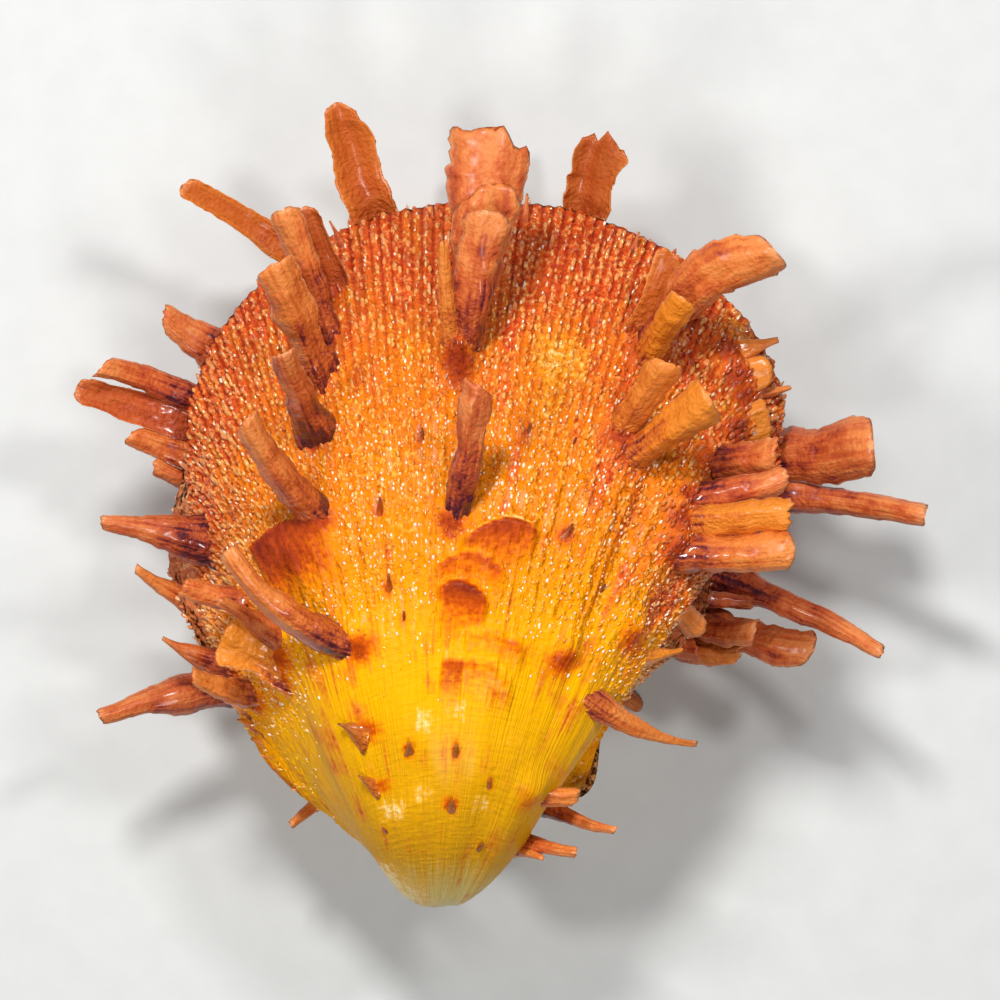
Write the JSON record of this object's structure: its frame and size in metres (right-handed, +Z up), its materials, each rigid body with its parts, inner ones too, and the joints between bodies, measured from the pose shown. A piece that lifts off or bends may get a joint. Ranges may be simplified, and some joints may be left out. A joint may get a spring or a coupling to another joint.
{
  "type": "thorny oyster shell",
  "caption": "Closed pair of thorny oyster valves, domed and bristling with long flattened spines, for display or set dressing.",
  "frame": {"origin": "bottom centre of the box round the whole shell, on the surface that it stands on", "axes": "+X to the right as seen from above with the hinge nearest the viewer, +Y from the hinge to the far margin, +Z up out of the beaked valve"},
  "size_m": [0.1128, 0.1058, 0.0594],
  "materials": {
    "upper_valve_shell": "glossy",
    "lower_valve_shell": "glossy",
    "ligament": "satin"
  },
  "bodies": {
    "root": {"upper_valve": "upper_valve_shell", "lower_valve": "lower_valve_shell", "hinge_ligament": "ligament"}
  },
  "joints": []
}
